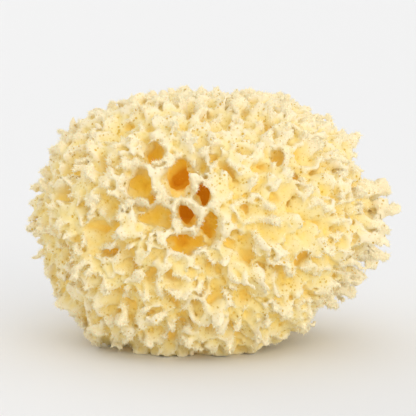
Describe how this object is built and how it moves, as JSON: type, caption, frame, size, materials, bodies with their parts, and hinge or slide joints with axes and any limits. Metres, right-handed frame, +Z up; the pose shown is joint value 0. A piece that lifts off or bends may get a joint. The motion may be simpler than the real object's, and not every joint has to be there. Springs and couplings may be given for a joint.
{
  "type": "sea sponge",
  "caption": "Dried honeycomb sea sponge: a soft, pitted, tufted body with a group of deep water channels, trimmed flat underneath so that it stands.",
  "frame": {"origin": "middle of the flat cut face underneath, at the level that the sponge stands on", "axes": "+Z up; X along the sponge's long way, point to point; the large group of water channels opens towards -Y, the front"},
  "size_m": [0.15, 0.124, 0.106],
  "materials": {
    "spongin": "matte"
  },
  "bodies": {
    "root": {"sponge": "spongin"}
  },
  "joints": []
}
